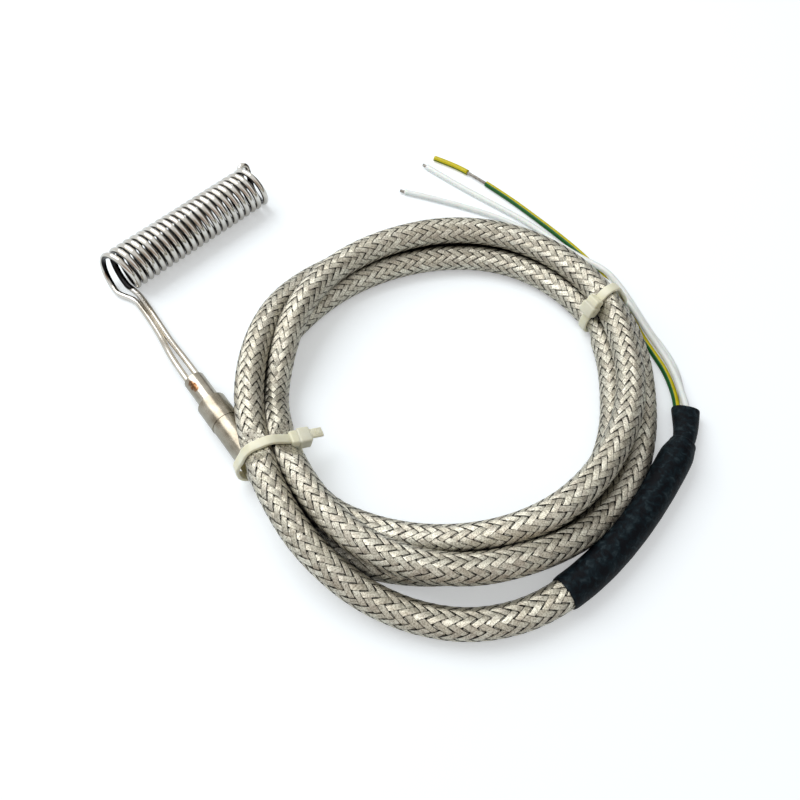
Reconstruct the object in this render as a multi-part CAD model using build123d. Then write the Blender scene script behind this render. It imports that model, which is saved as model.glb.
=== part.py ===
from build123d import *
import math
import os

# Coil heater for a hot runner nozzle, with its braided lead tied in three loops.
# +X runs along the coil's bore from its mouth, +Z is up, and everything lies on one flat surface.

# Sheathed heating cable and the double coil
CABLE_D = 1.8
COIL_BORE = 10.0
TURN_PITCH = 2.3
COIL_DEGREES = 4018
POINTS_A_TURN = 12
MOUTH_STAND_OFF = 0.9
MOUTH_OPENING = 1.4
MOUTH_OPENING_DEGREES = 250
LAST_TURN_OPENING = 0.6
LAST_OPENING_STARTS = 620
LAST_OPENING_DEGREES = 380
LAST_TURN_LEAN = 0.8
LEAN_DEGREES = 90
HAIRPIN_REACH = 4.6

# Points of each cold leg, from the bottom of its first turn: along the bore, sideways and up
LEG_1_POINTS = [(0.8, -3.9, 0.0), (1.6, -6.6, 0.1), (1.4, -10.5, 0.4), (-2.1, -26.5, 1.9)]
LEG_2_POINTS = [(0.1, -2.8, 0.0), (0.1, -6.0, 0.1), (-0.4, -9.5, 0.4), (-4.1, -27.6, 1.9)]

# Ferrule and sleeve, from the ferrule's mouth along their common axis
FERRULE_MOUTH_X = -5.12
FERRULE_MOUTH_Y = -44.49
SLEEVE_HEADING = 260.9
SLEEVE_FRONT_RISE = 0.4
SLEEVE_RISE_AT_TIE = 1.1
TIE_ALONG_SLEEVE = 33.5
LEG_SPACING = 2.9
LEG_CLEARANCE = 0.05
FERRULE_D = 5.8
FERRULE_SHOWN = 9.8
FERRULE_INSIDE = 2.0
FERRULE_CHAMFER = 0.3
SLEEVE_ROOM = 0.5
SLEEVE_WALL = 0.6
SLEEVE_FRONT_WALL = 1.0
SLEEVE_FRONT_LENGTH = 7.7
SLEEVE_CRIMP = 0.3
SLEEVE_LENGTH = 31.0
FIT = 0.05
CUT_PAST = 1.0
CUT_OVERLAP = 0.01

# Pieces sealed in the sleeve
LEG_PAST_FERRULE = 0.5
PIN_D = 0.8
PIN_DEPTH = 2.0
PIN_LENGTH = 7.0
BEAD_GAP = 0.3
BEAD_THICKNESS = 2.5
SPLICE_D = 2.0
SPLICE_LENGTH = 6.5
SPLICE_PAST_BEAD = 1.4
BRAID_CLAMPED = 9.0
BRAID_CLAMPED_WALL = 0.6
EARTH_CRIMP_D = 2.2
EARTH_CRIMP_LENGTH = 4.0
EARTH_CRIMP_GAP = 0.5
TAIL_SPACING = 2.32

# Braided lead and the ring of its three loops, given as radii of its outermost and innermost centre lines
BRAID_D = 7.7
RING_X = 40.0
RING_Y = -98.0
RING_SQUASH = 0.6
RING_EDGE_RADIUS = 3.5
RING_CLEARANCE = 0.1
RING_OUTER = [59.15, 59.35, 56.95, 56.15, 53.95, 53.75, 53.75, 52.15, 50.75, 48.55, 49.75, 53.15]
RING_INNER = [50.45, 51.85, 50.85, 50.05, 48.45, 47.05, 46.65, 43.25, 42.65, 42.85, 43.45, 45.45]
RING_OUTER_ROUNDING = 40.0
RING_INNER_ROUNDING = 30.0
ARC_SHARE = 0.45

# Shrink tubes on the lead's free end
MAIN_SHRINK_WALL = 0.4
MAIN_SHRINK_START = 6.7
MAIN_SHRINK_NECK = 7.3
MAIN_SHRINK_NECK_WALL = 0.6
SHOULDER_AT = 3.4
SHOULDER_ROUND_LENGTH = 1.3
SHOULDER_ROUND_DROP = 0.5
SHOULDER_LENGTH = 2.4
SHOULDER_FOOT = 0.3
SHOULDER_INSIDE_LENGTH = 2.2
END_SHRINK_D = 5.6
END_SHRINK_WALL = 0.35
END_SHRINK_MOUTH_WIDTH = 7.4
END_SHRINK_MOUTH_HEIGHT = 4.5
END_SHRINK_MIDDLE_WIDTH = 6.5
END_SHRINK_MIDDLE_HEIGHT = 4.8
END_SHRINK_ROUNDING = 0.49

# Single wires
WIRE_D = 1.8
CORE_D = 1.0
CORE_HELD_D = 0.6
CORE_INSIDE = 5.0
LINE_CORE_SHOWN = 1.6
CORE_FIT = 0.02
SLUG_AT = 7.8

# Nylon ties: radii and heights above the floor of the strap's corners, in its plane through the ring's centre
TIE_WIDTH = 2.6
TIE_THICKNESS = 1.0
TIE_CORNER = 4.4
TIE_GAP = 0.1
TIE_ROOM = 60.0
TIE_HEAD_CHAMFER = 0.3
TIE_HEAD_LENGTH = 5.6
TIE_HEAD_WIDTH = 4.8
TIE_HEAD_HEIGHT = 3.8
TIE_TAIL_WIDTH = 2.5
TIE_1_ANGLE = 157.6
TIE_1_SLEEVE_GAP = 0.61
TIE_1_SIDE_HEIGHT = 7.8
TIE_1_TOP = [(56.0, 15.0), (49.5, 15.4), (43.3, 11.4)]
TIE_1_INNER = 42.0
TIE_1_HEAD = (42.6, 10.6)
TIE_1_HEAD_ANGLE = 198.0
TIE_1_TAIL = 3.2
TIE_2_ANGLE = 346.8
TIE_2_OUTER = 59.9
TIE_2_SIDE_HEIGHT = 6.3
TIE_2_TOP = [(55.0, 15.4), (49.5, 15.4), (43.9, 6.2)]
TIE_2_INNER = 43.9
TIE_2_HEAD = (45.8, 11.3)
TIE_2_HEAD_ANGLE = 238.7

# Heights and radii that follow from the sizes above
COIL_RADIUS = COIL_BORE / 2 + CABLE_D / 2
FLOOR = -(COIL_BORE / 2 + CABLE_D)
SLEEVE_D = FERRULE_D + 2 * SLEEVE_ROOM + 2 * SLEEVE_WALL
SLEEVE_REAR_D = SLEEVE_D - SLEEVE_CRIMP
BRAID_REST = FLOOR + BRAID_D / 2
SHRINK_REST = BRAID_REST + FIT + MAIN_SHRINK_WALL
MIDDLE_REST = SHRINK_REST - 1.3
MOUTH_REST = FLOOR + END_SHRINK_MOUTH_HEIGHT / 2
WIRE_REST = FLOOR + WIRE_D / 2
RING_HEIGHT = 2 * BRAID_D - RING_SQUASH
SLEEVE_AXIS_HEIGHT = FLOOR + SLEEVE_D / 2 + SLEEVE_FRONT_RISE

# The run from the loops to the free end, chosen along the lead as it lies
BRAID_RUN = [
    (-14.6, -90.5, BRAID_REST + 7.9),
    (-16.4, -99.5, BRAID_REST + 7.0),
    (-16.4, -109.0, BRAID_REST + 5.0),
    (-14.4, -119.5, BRAID_REST + 2.0),
    (-9.4, -131.0, BRAID_REST + 0.2),
    (-1.6, -141.8, BRAID_REST),
    (10.0, -149.9, SHRINK_REST),
    (24.5, -153.8, SHRINK_REST),
    (40.0, -154.5, SHRINK_REST),
    (54.5, -153.0, SHRINK_REST),
    (62.5, -151.5, SHRINK_REST),
]
SHRINK_FIRST_POINT = 7

# Width and height of the narrow tube, as it flattens towards its mouth
END_SHRINK_AXIS = [
    (62.6, -151.5, SHRINK_REST),
    (70.0, -150.1, SHRINK_REST),
    (75.4, -147.6, MIDDLE_REST),
    (80.3, -144.7, MOUTH_REST),
]
END_SHRINK_HEADINGS = [10.6, 15.0, 27.0, 31.0]
END_SHRINK_WIDTHS = [END_SHRINK_D, END_SHRINK_D, END_SHRINK_MIDDLE_WIDTH, END_SHRINK_MOUTH_WIDTH]
END_SHRINK_HEIGHTS = [END_SHRINK_D, END_SHRINK_D, END_SHRINK_MIDDLE_HEIGHT, END_SHRINK_MOUTH_HEIGHT]

# The three wires: through the narrow tube, over each other beside the ring, and on to their ends
EARTH_ROUTE = [
    (62.4, -150.6, SHRINK_REST - 0.6),
    (69.8, -149.2, SHRINK_REST - 0.6),
    (74.7, -146.3, MIDDLE_REST - 0.55),
    (79.4, -143.1, MOUTH_REST - 0.75),
    (83.4, -139.9, WIRE_REST),
    (88.0, -134.2, WIRE_REST),
    (91.3, -127.6, WIRE_REST),
    (93.9, -121.8, WIRE_REST),
    (99.1, -113.8, WIRE_REST),
    (102.4, -106.7, WIRE_REST),
    (104.9, -100.3, WIRE_REST),
    (107.6, -90.9, WIRE_REST),
    (109.2, -80.0, WIRE_REST),
    (110.4, -68.0, WIRE_REST),
    (111.2, -58.0, WIRE_REST),
    (111.3, -48.6, WIRE_REST),
]
WHITE_1_ROUTE = [
    (62.8, -152.4, SHRINK_REST - 0.6),
    (70.2, -151.1, SHRINK_REST - 0.6),
    (75.6, -147.9, MIDDLE_REST - 0.9),
    (80.3, -144.6, MOUTH_REST - 1.0),
    (84.8, -141.2, WIRE_REST),
    (90.4, -136.0, WIRE_REST),
    (94.3, -129.3, WIRE_REST),
    (96.6, -123.1, WIRE_REST),
    (101.2, -114.4, WIRE_REST + 0.1),
    (103.9, -107.0, WIRE_REST + 1.5),
    (105.3, -100.2, WIRE_REST + 2.7),
    (105.6, -91.1, WIRE_REST + 0.8),
    (106.3, -81.0, WIRE_REST),
    (106.8, -69.0, WIRE_REST),
    (105.6, -56.5, WIRE_REST),
    (104.2, -42.5, WIRE_REST),
    (103.7, -29.0, WIRE_REST),
]
WHITE_2_ROUTE = [
    (62.6, -151.5, SHRINK_REST + 1.05),
    (70.0, -150.1, SHRINK_REST + 1.05),
    (75.3, -147.4, MIDDLE_REST + 0.85),
    (80.4, -144.9, MOUTH_REST + 0.85),
    (84.2, -140.7, WIRE_REST + 2.0),
    (89.2, -135.1, WIRE_REST + 1.4),
    (92.9, -128.5, WIRE_REST + 1.1),
    (95.0, -122.4, WIRE_REST + 2.0),
    (99.5, -113.9, WIRE_REST + 2.1),
    (102.0, -106.7, WIRE_REST + 2.1),
    (103.1, -100.2, WIRE_REST + 0.8),
    (103.7, -91.3, WIRE_REST),
    (104.2, -81.0, WIRE_REST),
    (103.9, -71.0, WIRE_REST),
    (102.0, -61.0, WIRE_REST),
    (97.8, -49.5, WIRE_REST),
    (93.5, -39.5, WIRE_REST),
    (89.9, -32.0, WIRE_REST),
]
EARTH_CORE_ROUTE = [
    (111.3, -48.6, WIRE_REST),
    (111.2, -40.8, WIRE_REST),
    (110.4, -34.2, WIRE_REST),
    (108.7, -27.9, WIRE_REST),
]


def ease(t):
    """A smooth step from 0 to 1."""
    t = min(max(t, 0), 1)
    return t * t * (3 - 2 * t)


def strand_point(start_x, opening, last_opening, degrees):
    """A point on one of the coil's two strands, counted from the bottom of its first turn."""
    x = start_x + 2 * TURN_PITCH * degrees / 360
    x -= opening * (1 - ease(degrees / MOUTH_OPENING_DEGREES))
    x += last_opening * ease((degrees - COIL_DEGREES + LAST_OPENING_STARTS) / LAST_OPENING_DEGREES)
    x += LAST_TURN_LEAN * max((degrees - COIL_DEGREES + LEAN_DEGREES) / LEAN_DEGREES, 0) ** 2
    angle = math.radians(degrees)
    return Vector(x, COIL_RADIUS * math.sin(angle), -COIL_RADIUS * math.cos(angle))


def strand(start_x, opening, last_opening):
    """One strand of the coil, from points round each turn."""
    steps = round(COIL_DEGREES * POINTS_A_TURN / 360)
    angles = [COIL_DEGREES * i / steps for i in range(steps + 1)]
    return Spline(*[strand_point(start_x, opening, last_opening, a) for a in angles])


def rod(path, diameter):
    """A round rod along a path."""
    return sweep(Plane(origin=path @ 0, z_dir=path % 0) * Circle(diameter / 2), path=path)


def cord_radii(points):
    """The largest arc at each inner point that its two runs leave room for."""
    radii = []
    for before, here, after in zip(points, points[1:], points[2:]):
        run_in = Vector(*here) - Vector(*before)
        run_out = Vector(*after) - Vector(*here)
        half_turn = math.radians(run_in.get_angle(run_out)) / 2
        radii.append(ARC_SHARE * min(run_in.length, run_out.length) / math.tan(half_turn))
    return radii


def cord_path(name, points, radii=None):
    """Straight runs joined by tangent arcs."""
    radii = radii or cord_radii(points)
    print(name, "radii", [round(r, 1) for r in radii])
    path = FilletPolyline(*points, radius=radii)
    print(name, "length", round(path.length, 1))
    return path


def tube_along(path, outer, inner=0.0):
    """A cord's solid, or a hollow tube where an inner diameter is given."""
    start = Plane(origin=path @ 0, z_dir=path % 0)
    solid = sweep(start * Circle(outer / 2), path=path)
    if inner:
        solid = solid - sweep(start * Circle(inner / 2), path=path)
    return solid


parts = {}

# Common axis of ferrule and sleeve: Z along the axis into the sleeve, Y up
sleeve_yaw = math.radians(SLEEVE_HEADING)
sleeve_slope = (SLEEVE_RISE_AT_TIE - SLEEVE_FRONT_RISE) / TIE_ALONG_SLEEVE
sleeve_direction = Vector(math.cos(sleeve_yaw), math.sin(sleeve_yaw), sleeve_slope).normalized()
ferrule_mouth = Vector(FERRULE_MOUTH_X, FERRULE_MOUTH_Y, SLEEVE_AXIS_HEIGHT)
sideways = Vector(math.sin(sleeve_yaw), -math.cos(sleeve_yaw), 0) * -1
axis_frame = Plane(origin=ferrule_mouth, x_dir=sideways, z_dir=sleeve_direction)
leg_end_at = FERRULE_SHOWN + FERRULE_INSIDE + LEG_PAST_FERRULE


def on_axis(at, side=0.0, up=0.0):
    """A point in the sleeve's frame, in the model's frame."""
    return axis_frame.from_local_coords(Vector(side, up, at))


def disc(diameter, at, length, side=0.0, up=0.0):
    """A cylinder along the sleeve's axis."""
    frame = axis_frame * Location((side, up, at))
    return frame * extrude(Circle(diameter / 2), amount=length)


# Heating cable: leg, strand, hairpin, strand and leg, swept piece by piece and joined
first = strand(MOUTH_STAND_OFF, MOUTH_OPENING, 0.0)
second = strand(MOUTH_STAND_OFF + TURN_PITCH, 0.0, LAST_TURN_OPENING)
out = first % 1
span = (second @ 1) - (first @ 1)
across = (Vector(1, 0, 0) - out * out.X).normalized()
hairpin_start = (first @ 1) + out * (HAIRPIN_REACH + span.dot(out) / 2)
hairpin_end = (second @ 1) + out * (HAIRPIN_REACH - span.dot(out) / 2)
hairpin_top = (hairpin_start + hairpin_end) / 2 + out * (span.dot(across) / 2)


def leg(strand_path, side, offsets):
    """A cold leg from the bottom of the coil to its end past the ferrule."""
    start = strand_path @ 0
    entry = on_axis(0, side)
    middle = [start + Vector(dx, dy, rise) for dx, dy, rise in offsets]
    bend = Spline(start, *middle, entry, tangents=((strand_path % 0) * -1, sleeve_direction))
    return [bend, Line(entry, on_axis(leg_end_at, side))]


leg_1 = leg(first, -LEG_SPACING / 2, LEG_1_POINTS)
leg_2 = leg(second, LEG_SPACING / 2, LEG_2_POINTS)
cable_pieces = [first, Line(first @ 1, hairpin_start), ThreePointArc(hairpin_start, hairpin_top, hairpin_end)]
cable_pieces += [Line(hairpin_end, second @ 1), second] + leg_1 + leg_2
cable_rods = [rod(piece, CABLE_D) for piece in cable_pieces]
heater_sheath = cable_rods[0].fuse(*cable_rods[1:])
for side in (-LEG_SPACING / 2, LEG_SPACING / 2):
    heater_sheath -= disc(PIN_D, leg_end_at - PIN_DEPTH, PIN_DEPTH + CUT_PAST, side)
parts["heater_sheath"] = heater_sheath
print("heating cable length", round(sum(piece.length for piece in cable_pieces), 1))

# Ferrule: a turned bush with a hole for each leg
ferrule_length = FERRULE_SHOWN + FERRULE_INSIDE
ferrule = disc(FERRULE_D, 0, ferrule_length)
ferrule = chamfer(ferrule.edges().sort_by(Axis(ferrule_mouth, sleeve_direction))[0], FERRULE_CHAMFER)
for side in (-LEG_SPACING / 2, LEG_SPACING / 2):
    ferrule -= disc(CABLE_D + 2 * LEG_CLEARANCE, -CUT_PAST, ferrule_length + 2 * CUT_PAST, side)
parts["ferrule"] = ferrule

# Transition sleeve: a drawn cup, crimped smaller behind its step
sleeve_start = FERRULE_SHOWN
sleeve_end = FERRULE_SHOWN + SLEEVE_LENGTH
step_at = sleeve_start + SLEEVE_FRONT_LENGTH
sleeve_bore = SLEEVE_D - 2 * SLEEVE_WALL
rear_bore = SLEEVE_REAR_D - 2 * SLEEVE_WALL
rear_length = sleeve_end - step_at
front_room = SLEEVE_FRONT_LENGTH - SLEEVE_FRONT_WALL - SLEEVE_WALL
sleeve = disc(SLEEVE_D, sleeve_start, SLEEVE_FRONT_LENGTH)
sleeve += disc(SLEEVE_REAR_D, step_at, rear_length)
sleeve -= disc(FERRULE_D + 2 * FIT, sleeve_start - CUT_PAST, SLEEVE_FRONT_WALL + 2 * CUT_PAST)
sleeve -= disc(sleeve_bore, sleeve_start + SLEEVE_FRONT_WALL, front_room)
sleeve -= disc(rear_bore, step_at - SLEEVE_WALL - CUT_OVERLAP, rear_length + SLEEVE_WALL + CUT_PAST)
parts["transition_sleeve"] = sleeve

# Twin-bore ceramic disc at the ends of the cable
bead_at = leg_end_at + BEAD_GAP
bead = disc(rear_bore - 2 * FIT, bead_at, BEAD_THICKNESS)
for side in (-LEG_SPACING / 2, LEG_SPACING / 2):
    bead -= disc(PIN_D + 2 * FIT, bead_at - CUT_PAST, BEAD_THICKNESS + 2 * CUT_PAST, side)
parts["insulating_bead"] = bead

# Terminal pins, crimped splices and the ends of the line wires
pin_at = leg_end_at - PIN_DEPTH
splice_at = bead_at + BEAD_THICKNESS + SPLICE_PAST_BEAD
pin_end = pin_at + PIN_DEPTH + PIN_LENGTH
tail_bare_end = splice_at + SPLICE_LENGTH
for number, way in ((1, -1), (2, 1)):
    side = way * LEG_SPACING / 2
    tail_side = way * TAIL_SPACING / 2
    parts[f"terminal_pin_{number}"] = disc(PIN_D, pin_at, PIN_DEPTH + PIN_LENGTH, side)
    splice = disc(SPLICE_D, splice_at, SPLICE_LENGTH, side)
    splice -= disc(PIN_D, splice_at - CUT_PAST, pin_end - splice_at + CUT_PAST, side)
    splice -= disc(CORE_D, pin_end, tail_bare_end - pin_end + CUT_PAST, side)
    parts[f"splice_{number}"] = splice
    tail = disc(CORE_D, pin_end, tail_bare_end - pin_end, side)
    tail += disc(WIRE_D, tail_bare_end, sleeve_end - tail_bare_end, tail_side)
    parts[f"lead_tail_{number}"] = tail

# Earth conductor, crimped against the top of the sleeve's wall
clamp_bore = rear_bore - 2 * FIT - 2 * BRAID_CLAMPED_WALL
earth_up = rear_bore / 2 - EARTH_CRIMP_D / 2 - FIT
earth_tail_up = clamp_bore / 2 - WIRE_D / 2 - FIT
crimp_at = sleeve_end - BRAID_CLAMPED - EARTH_CRIMP_LENGTH - EARTH_CRIMP_GAP
earth_crimp = disc(EARTH_CRIMP_D, crimp_at, EARTH_CRIMP_LENGTH, 0, earth_up)
earth_crimp -= disc(CORE_D, crimp_at - CUT_PAST, EARTH_CRIMP_LENGTH + 2 * CUT_PAST, 0, earth_up)
parts["earth_crimp"] = earth_crimp
earth_tail = disc(CORE_D, crimp_at, EARTH_CRIMP_LENGTH, 0, earth_up)
earth_tail_at = crimp_at + EARTH_CRIMP_LENGTH
earth_tail += disc(WIRE_D, earth_tail_at, sleeve_end - earth_tail_at, 0, earth_tail_up)
parts["earth_tail"] = earth_tail

# End of the braid, clamped in the rear of the sleeve
braid_start = disc(rear_bore - 2 * FIT, sleeve_end - BRAID_CLAMPED, BRAID_CLAMPED)
braid_start -= disc(clamp_bore, sleeve_end - BRAID_CLAMPED - CUT_PAST, BRAID_CLAMPED + 2 * CUT_PAST)
parts["braid_start"] = braid_start

# Cement that fills the sleeve round the joints
cement_end = sleeve_end - BRAID_CLAMPED
cement = disc(rear_bore - 2 * FIT, leg_end_at - LEG_PAST_FERRULE, cement_end - leg_end_at + LEG_PAST_FERRULE)
for name in ["heater_sheath", "insulating_bead", "terminal_pin_1", "terminal_pin_2", "splice_1", "splice_2",
             "lead_tail_1", "lead_tail_2", "earth_crimp", "earth_tail"]:
    cement -= parts[name]
parts["potting_cement"] = max(cement.solids(), key=lambda solid: solid.volume)

# Lead from the loops to the free end
run_radii = cord_radii(BRAID_RUN)
run_path = cord_path("braid_run", BRAID_RUN, run_radii)
parts["braid_run"] = tube_along(run_path, BRAID_D)

# Wide shrink tube: along the same arcs as the lead, then a shoulder down to its neck
run_in = Vector(*BRAID_RUN[SHRINK_FIRST_POINT]) - Vector(*BRAID_RUN[SHRINK_FIRST_POINT - 1])
shrink_start = Vector(*BRAID_RUN[SHRINK_FIRST_POINT - 1]) + run_in.normalized() * MAIN_SHRINK_START
shrink_points = [shrink_start] + BRAID_RUN[SHRINK_FIRST_POINT:]
shrink_path = FilletPolyline(*shrink_points, radius=run_radii[SHRINK_FIRST_POINT - 1:])
main_bore = BRAID_D + 2 * FIT
main_outer = main_bore + 2 * MAIN_SHRINK_WALL
neck_bore = END_SHRINK_D + 2 * FIT
neck_outer = neck_bore + 2 * MAIN_SHRINK_NECK_WALL
shoulder_frame = Plane(origin=shrink_path @ 1, z_dir=shrink_path % 1)


def lathe(stations):
    """A body turned about the wide tube's last straight run, from pairs of distance and diameter."""
    first_at, last_at = stations[0][0], stations[-1][0]
    outline = [(0, first_at)] + [(diameter / 2, at) for at, diameter in stations] + [(0, last_at)]
    half = Plane.XZ * make_face(Polyline(*outline, close=True))
    return shoulder_frame * revolve(half, Axis.Z)


shoulder_outside = [
    (0, main_outer),
    (SHOULDER_AT, main_outer),
    (SHOULDER_AT + SHOULDER_ROUND_LENGTH, main_outer - SHOULDER_ROUND_DROP),
    (SHOULDER_AT + SHOULDER_LENGTH, neck_outer + SHOULDER_FOOT),
    (MAIN_SHRINK_NECK, neck_outer),
]
shoulder_inside = [
    (-CUT_PAST, main_bore),
    (SHOULDER_AT, main_bore),
    (SHOULDER_AT + SHOULDER_INSIDE_LENGTH, neck_bore),
    (MAIN_SHRINK_NECK + CUT_PAST, neck_bore),
]
main_shrink = tube_along(shrink_path, main_outer) + lathe(shoulder_outside)
main_shrink -= tube_along(shrink_path, main_bore)
main_shrink -= lathe(shoulder_inside)
parts["main_shrink"] = main_shrink


def end_shrink_body(smaller):
    """The narrow tube's outer shape, or its bore when made smaller by twice the wall."""
    sections = []
    for point, heading, width, height in zip(
        END_SHRINK_AXIS, END_SHRINK_HEADINGS, END_SHRINK_WIDTHS, END_SHRINK_HEIGHTS
    ):
        yaw = math.radians(heading)
        way = Vector(math.cos(yaw), math.sin(yaw), 0)
        frame = Plane(origin=point, x_dir=(-way.Y, way.X, 0), z_dir=way)
        half_round = END_SHRINK_ROUNDING * (height - smaller)
        sections.append(frame * RectangleRounded(width - smaller, height - smaller, half_round))
    return loft(sections)


parts["end_shrink"] = end_shrink_body(0) - end_shrink_body(2 * END_SHRINK_WALL)

# Insulated wires, bored at their ends for the bare conductors, whose stripped strands spread a little
WIRES = {"white_wire_1": WHITE_1_ROUTE, "white_wire_2": WHITE_2_ROUTE, "earth_wire": EARTH_ROUTE}
for name, route in WIRES.items():
    path = cord_path(name, route)
    end_frame = Plane(origin=path @ 1, z_dir=path % 1)
    held_d = CORE_D if name == "earth_wire" else CORE_HELD_D
    bore = end_frame * extrude(Circle(held_d / 2 + CORE_FIT), amount=-CORE_INSIDE)
    parts[name] = tube_along(path, WIRE_D) - bore
    if name != "earth_wire":
        core = end_frame * extrude(Circle(CORE_D / 2), amount=LINE_CORE_SHOWN)
        core += end_frame * extrude(Circle(held_d / 2), amount=-CORE_INSIDE)
        parts["line_core_" + name[-1]] = core

# Earth conductor, bare past its insulation, with a loose piece of insulation on its end
earth_end = Vector(*EARTH_ROUTE[-1])
earth_end_direction = (earth_end - Vector(*EARTH_ROUTE[-2])).normalized()
core_path = cord_path("earth_core", [earth_end - earth_end_direction * CORE_INSIDE] + EARTH_CORE_ROUTE)
parts["earth_core"] = tube_along(core_path, CORE_D)
slug_path = core_path.trim(1 - (core_path.length - CORE_INSIDE - SLUG_AT) / core_path.length, 1)
parts["earth_slug"] = tube_along(slug_path, WIRE_D, CORE_D + 2 * CORE_FIT)

# Ring of loops, with room for the sleeve, the lead and the ties
ring_points_outer = []
ring_points_inner = []
for number, (outer, inner) in enumerate(zip(RING_OUTER, RING_INNER)):
    angle = math.radians(360 * number / len(RING_OUTER))
    c, s = math.cos(angle), math.sin(angle)
    outer_edge = outer + BRAID_D / 2
    inner_edge = inner - BRAID_D / 2
    ring_points_outer.append((RING_X + outer_edge * c, RING_Y + outer_edge * s))
    ring_points_inner.append((RING_X + inner_edge * c, RING_Y + inner_edge * s))
ring_outer = make_face(FilletPolyline(*ring_points_outer, radius=RING_OUTER_ROUNDING, close=True))
ring_inner = make_face(FilletPolyline(*ring_points_inner, radius=RING_INNER_ROUNDING, close=True))
ring = Pos(0, 0, FLOOR) * extrude(ring_outer - ring_inner, amount=RING_HEIGHT)
ring = fillet(ring.faces().filter_by(Axis.Z).edges(), RING_EDGE_RADIUS)
ring -= disc(SLEEVE_REAR_D + 2 * RING_CLEARANCE, step_at, sleeve_end - step_at)
ring -= tube_along(run_path, BRAID_D + 2 * RING_CLEARANCE)


def tie(angle, top, inner, head_at, head_angle, tail):
    """A tie and the room it takes from the ring."""
    turn = math.radians(angle)
    radial = Vector(math.cos(turn), math.sin(turn), 0)
    frame = Plane(origin=(RING_X, RING_Y, 0), x_dir=radial, z_dir=radial.cross(Vector(0, 0, 1)))
    corners = [(top[0][0], FLOOR)] + [(r, FLOOR + height) for r, height in top] + [(inner, FLOOR)]
    outline = make_face(FilletPolyline(*corners, radius=TIE_CORNER, close=True))
    inside = offset(outline, -TIE_THICKNESS)
    squeezed = offset(outline, -TIE_THICKNESS - TIE_GAP)
    head_frame = frame * Location((head_at[0], FLOOR + head_at[1], 0), (0, 0, head_angle))
    band = frame * extrude(outline - inside, amount=TIE_WIDTH / 2, both=True)
    head = head_frame * Box(TIE_HEAD_LENGTH, TIE_HEAD_HEIGHT, TIE_HEAD_WIDTH)
    head = chamfer(head.edges(), TIE_HEAD_CHAMFER)
    body = band + head
    if tail:
        tail_length = TIE_HEAD_LENGTH / 2 + tail
        tail_at = Location((tail_length / 2, 0, 0))
        body += head_frame * tail_at * Box(tail_length, TIE_THICKNESS, TIE_TAIL_WIDTH)
    slab = Box(TIE_ROOM, TIE_ROOM, TIE_WIDTH + 2 * TIE_GAP)
    room = frame * (Location((top[1][0], 0, 0)) * slab)
    room -= frame * extrude(squeezed, amount=TIE_WIDTH, both=True)
    grown = [size + 2 * TIE_GAP for size in (TIE_HEAD_LENGTH, TIE_HEAD_HEIGHT, TIE_HEAD_WIDTH)]
    room += head_frame * Box(*grown)
    return body, room


# Tie 1 goes round the sleeve too, so its outer side follows the sleeve
tie_turn = math.radians(TIE_1_ANGLE)
tie_radial = Vector(math.cos(tie_turn), math.sin(tie_turn), 0)
tie_normal = Vector(-math.sin(tie_turn), math.cos(tie_turn), 0)
to_mouth = ferrule_mouth - Vector(RING_X, RING_Y, 0)
along = -to_mouth.dot(tie_normal) / sleeve_direction.dot(tie_normal)
sleeve_radius = (to_mouth + sleeve_direction * along).dot(tie_radial)
sleeve_reach = SLEEVE_REAR_D / 2 / abs(sleeve_direction.dot(tie_normal))
tie_1_outer = sleeve_radius + sleeve_reach + TIE_1_SLEEVE_GAP + TIE_THICKNESS
print("outer radius of the first tie", round(tie_1_outer, 3))
tie_1_top = [(tie_1_outer, TIE_1_SIDE_HEIGHT)] + TIE_1_TOP
tie_2_top = [(TIE_2_OUTER, TIE_2_SIDE_HEIGHT)] + TIE_2_TOP
tie_1, room_1 = tie(TIE_1_ANGLE, tie_1_top, TIE_1_INNER, TIE_1_HEAD, TIE_1_HEAD_ANGLE, TIE_1_TAIL)
tie_2, room_2 = tie(TIE_2_ANGLE, tie_2_top, TIE_2_INNER, TIE_2_HEAD, TIE_2_HEAD_ANGLE, 0)
parts["cable_tie_1"] = tie_1
parts["cable_tie_2"] = tie_2
ring -= room_1
ring -= room_2
print("pieces of the ring", [round(solid.volume, 2) for solid in ring.solids()])
parts["braid_loops"] = max(ring.solids(), key=lambda solid: solid.volume)

os.makedirs("parts", exist_ok=True)
for name, shape in parts.items():
    print(name, round(shape.volume, 2), len(shape.solids()), shape.is_valid)
    export_step(shape, f"parts/{name}.step")
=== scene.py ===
import bpy
import math
import random
import numpy as np
from mathutils import Matrix, Vector


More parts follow.
